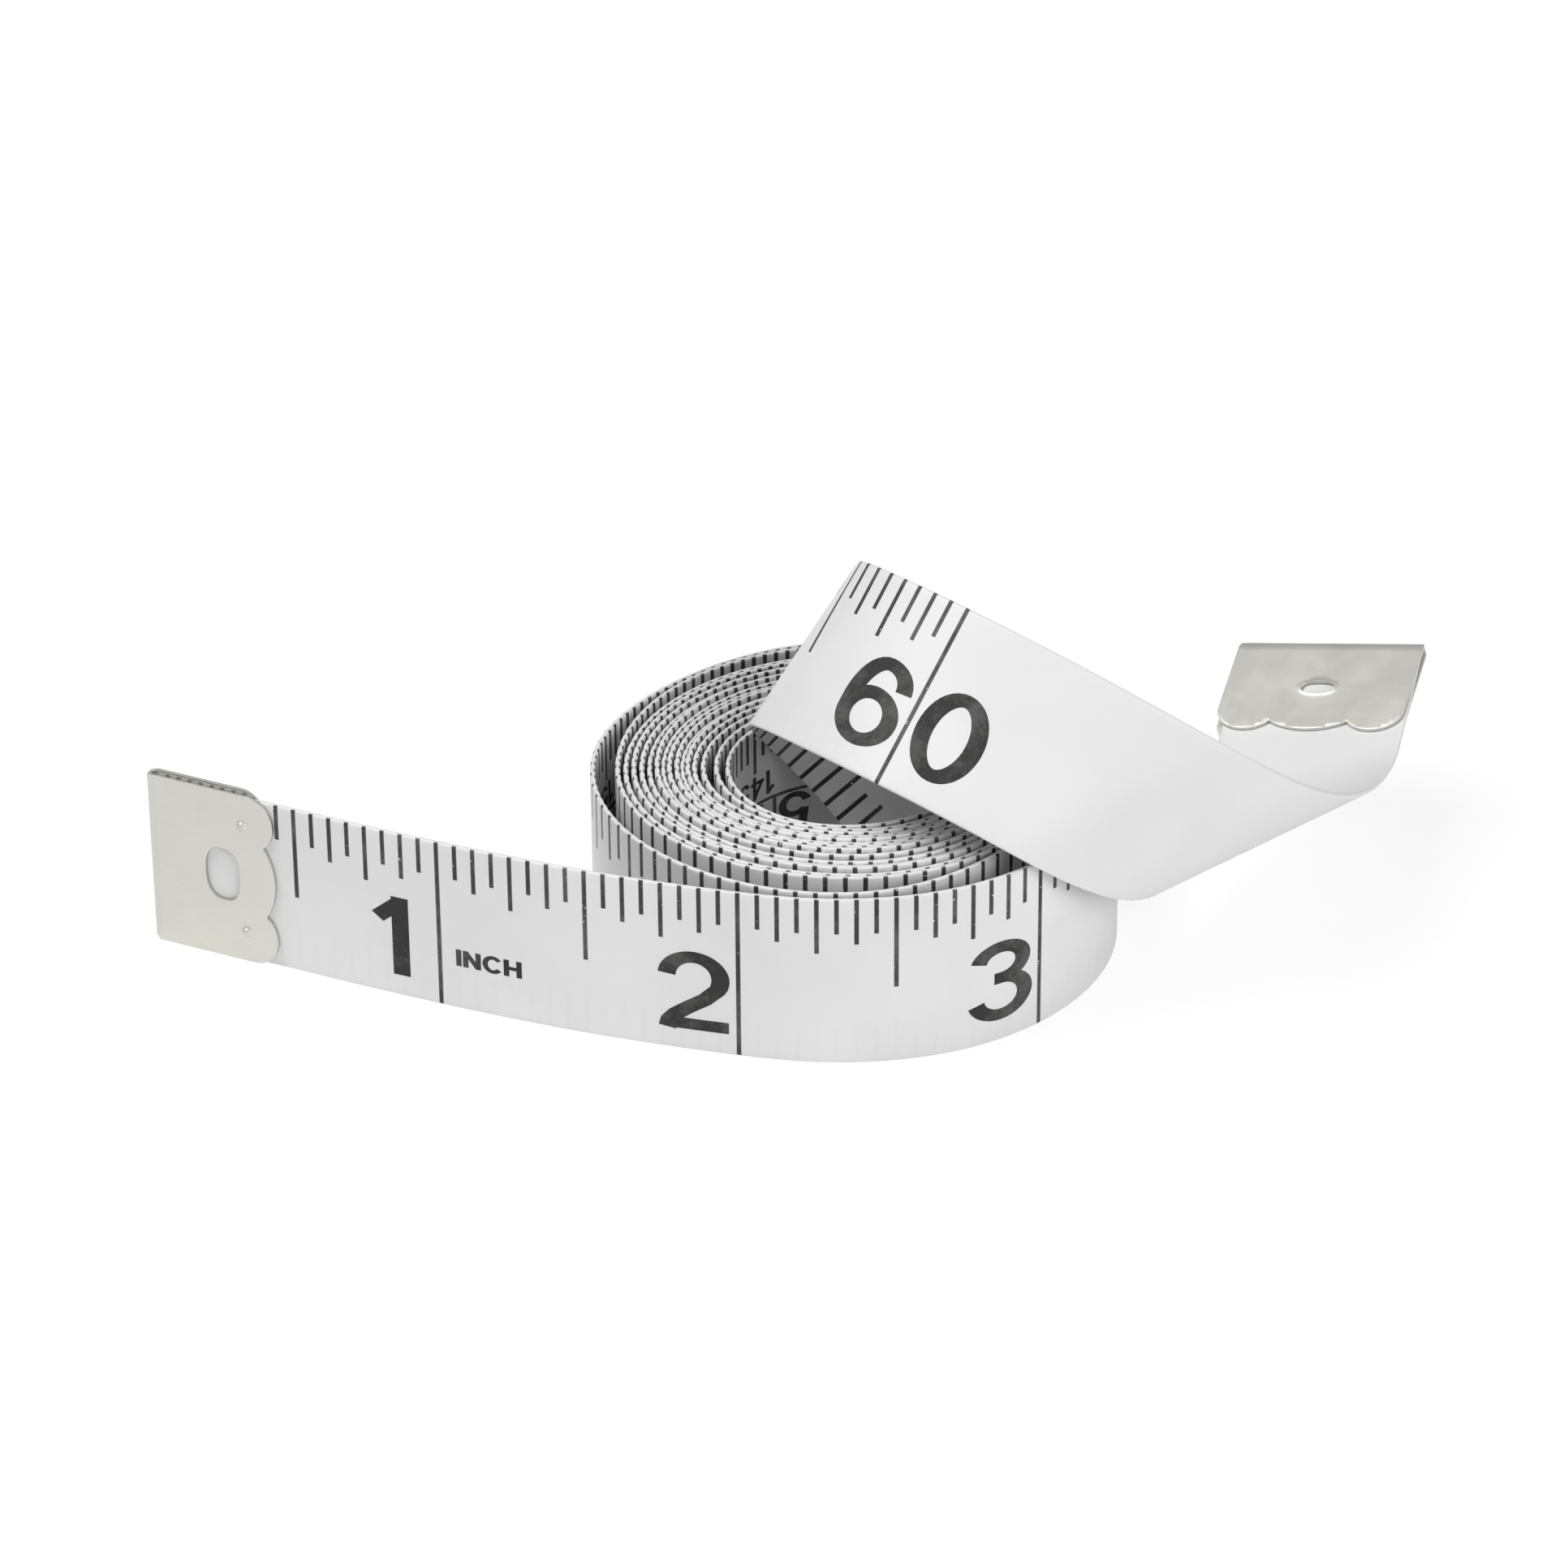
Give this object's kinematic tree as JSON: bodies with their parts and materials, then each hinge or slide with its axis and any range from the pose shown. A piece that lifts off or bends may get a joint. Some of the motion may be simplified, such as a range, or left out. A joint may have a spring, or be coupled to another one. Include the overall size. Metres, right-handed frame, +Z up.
{
  "type": "cloth tape measure",
  "caption": "Narrow printed cloth measuring tape with a folded metal clip on each end, wound on edge into a loose oval coil, with both ends free.",
  "frame": {"origin": "middle of the box of the whole part, on the surface that the coil stands on", "axes": "+Z up across the standing tape, +X to the right from the start clip towards the end clip, -Y towards the side that the lead runs along"},
  "size_m": [0.106, 0.0436, 0.0332],
  "materials": {
    "tape": "white coated cloth with dark printed inch and centimetre scales",
    "clip": "thin plated sheet with fine scratches"
  },
  "bodies": {
    "coil": {"tape_coil": "tape"},
    "front": {"tape_front": "tape"},
    "lead": {"tape_lead": "tape", "start_clip": "clip"},
    "strip": {"tape_strip": "tape"},
    "end": {"tape_end": "tape", "end_clip": "clip"}
  },
  "joints": [
    {"name": "lead_swing", "type": "hinge", "parent": "coil", "child": "front", "pos_m": [0.01929, -0.01649, 0.00794], "axis": [0, 0, 1], "range_deg": [0, 45]},
    {"name": "lead_curl", "type": "hinge", "parent": "front", "child": "lead", "pos_m": [-0.00976, -0.01943, 0.00794], "axis": [0, 0, 1], "range_deg": [-35, 50]},
    {"name": "tail_lift", "type": "hinge", "parent": "coil", "child": "strip", "pos_m": [0.00112, 0.0005, 0.02575], "axis": [-0.5579, -0.3631, -0.7463], "range_deg": [0, 50]},
    {"name": "end_fold", "type": "hinge", "parent": "strip", "child": "end", "pos_m": [0.03518, -0.01001, 0.01277], "axis": [-0.8947, -0.3611, -0.2627], "range_deg": [-40, 20]}
  ]
}
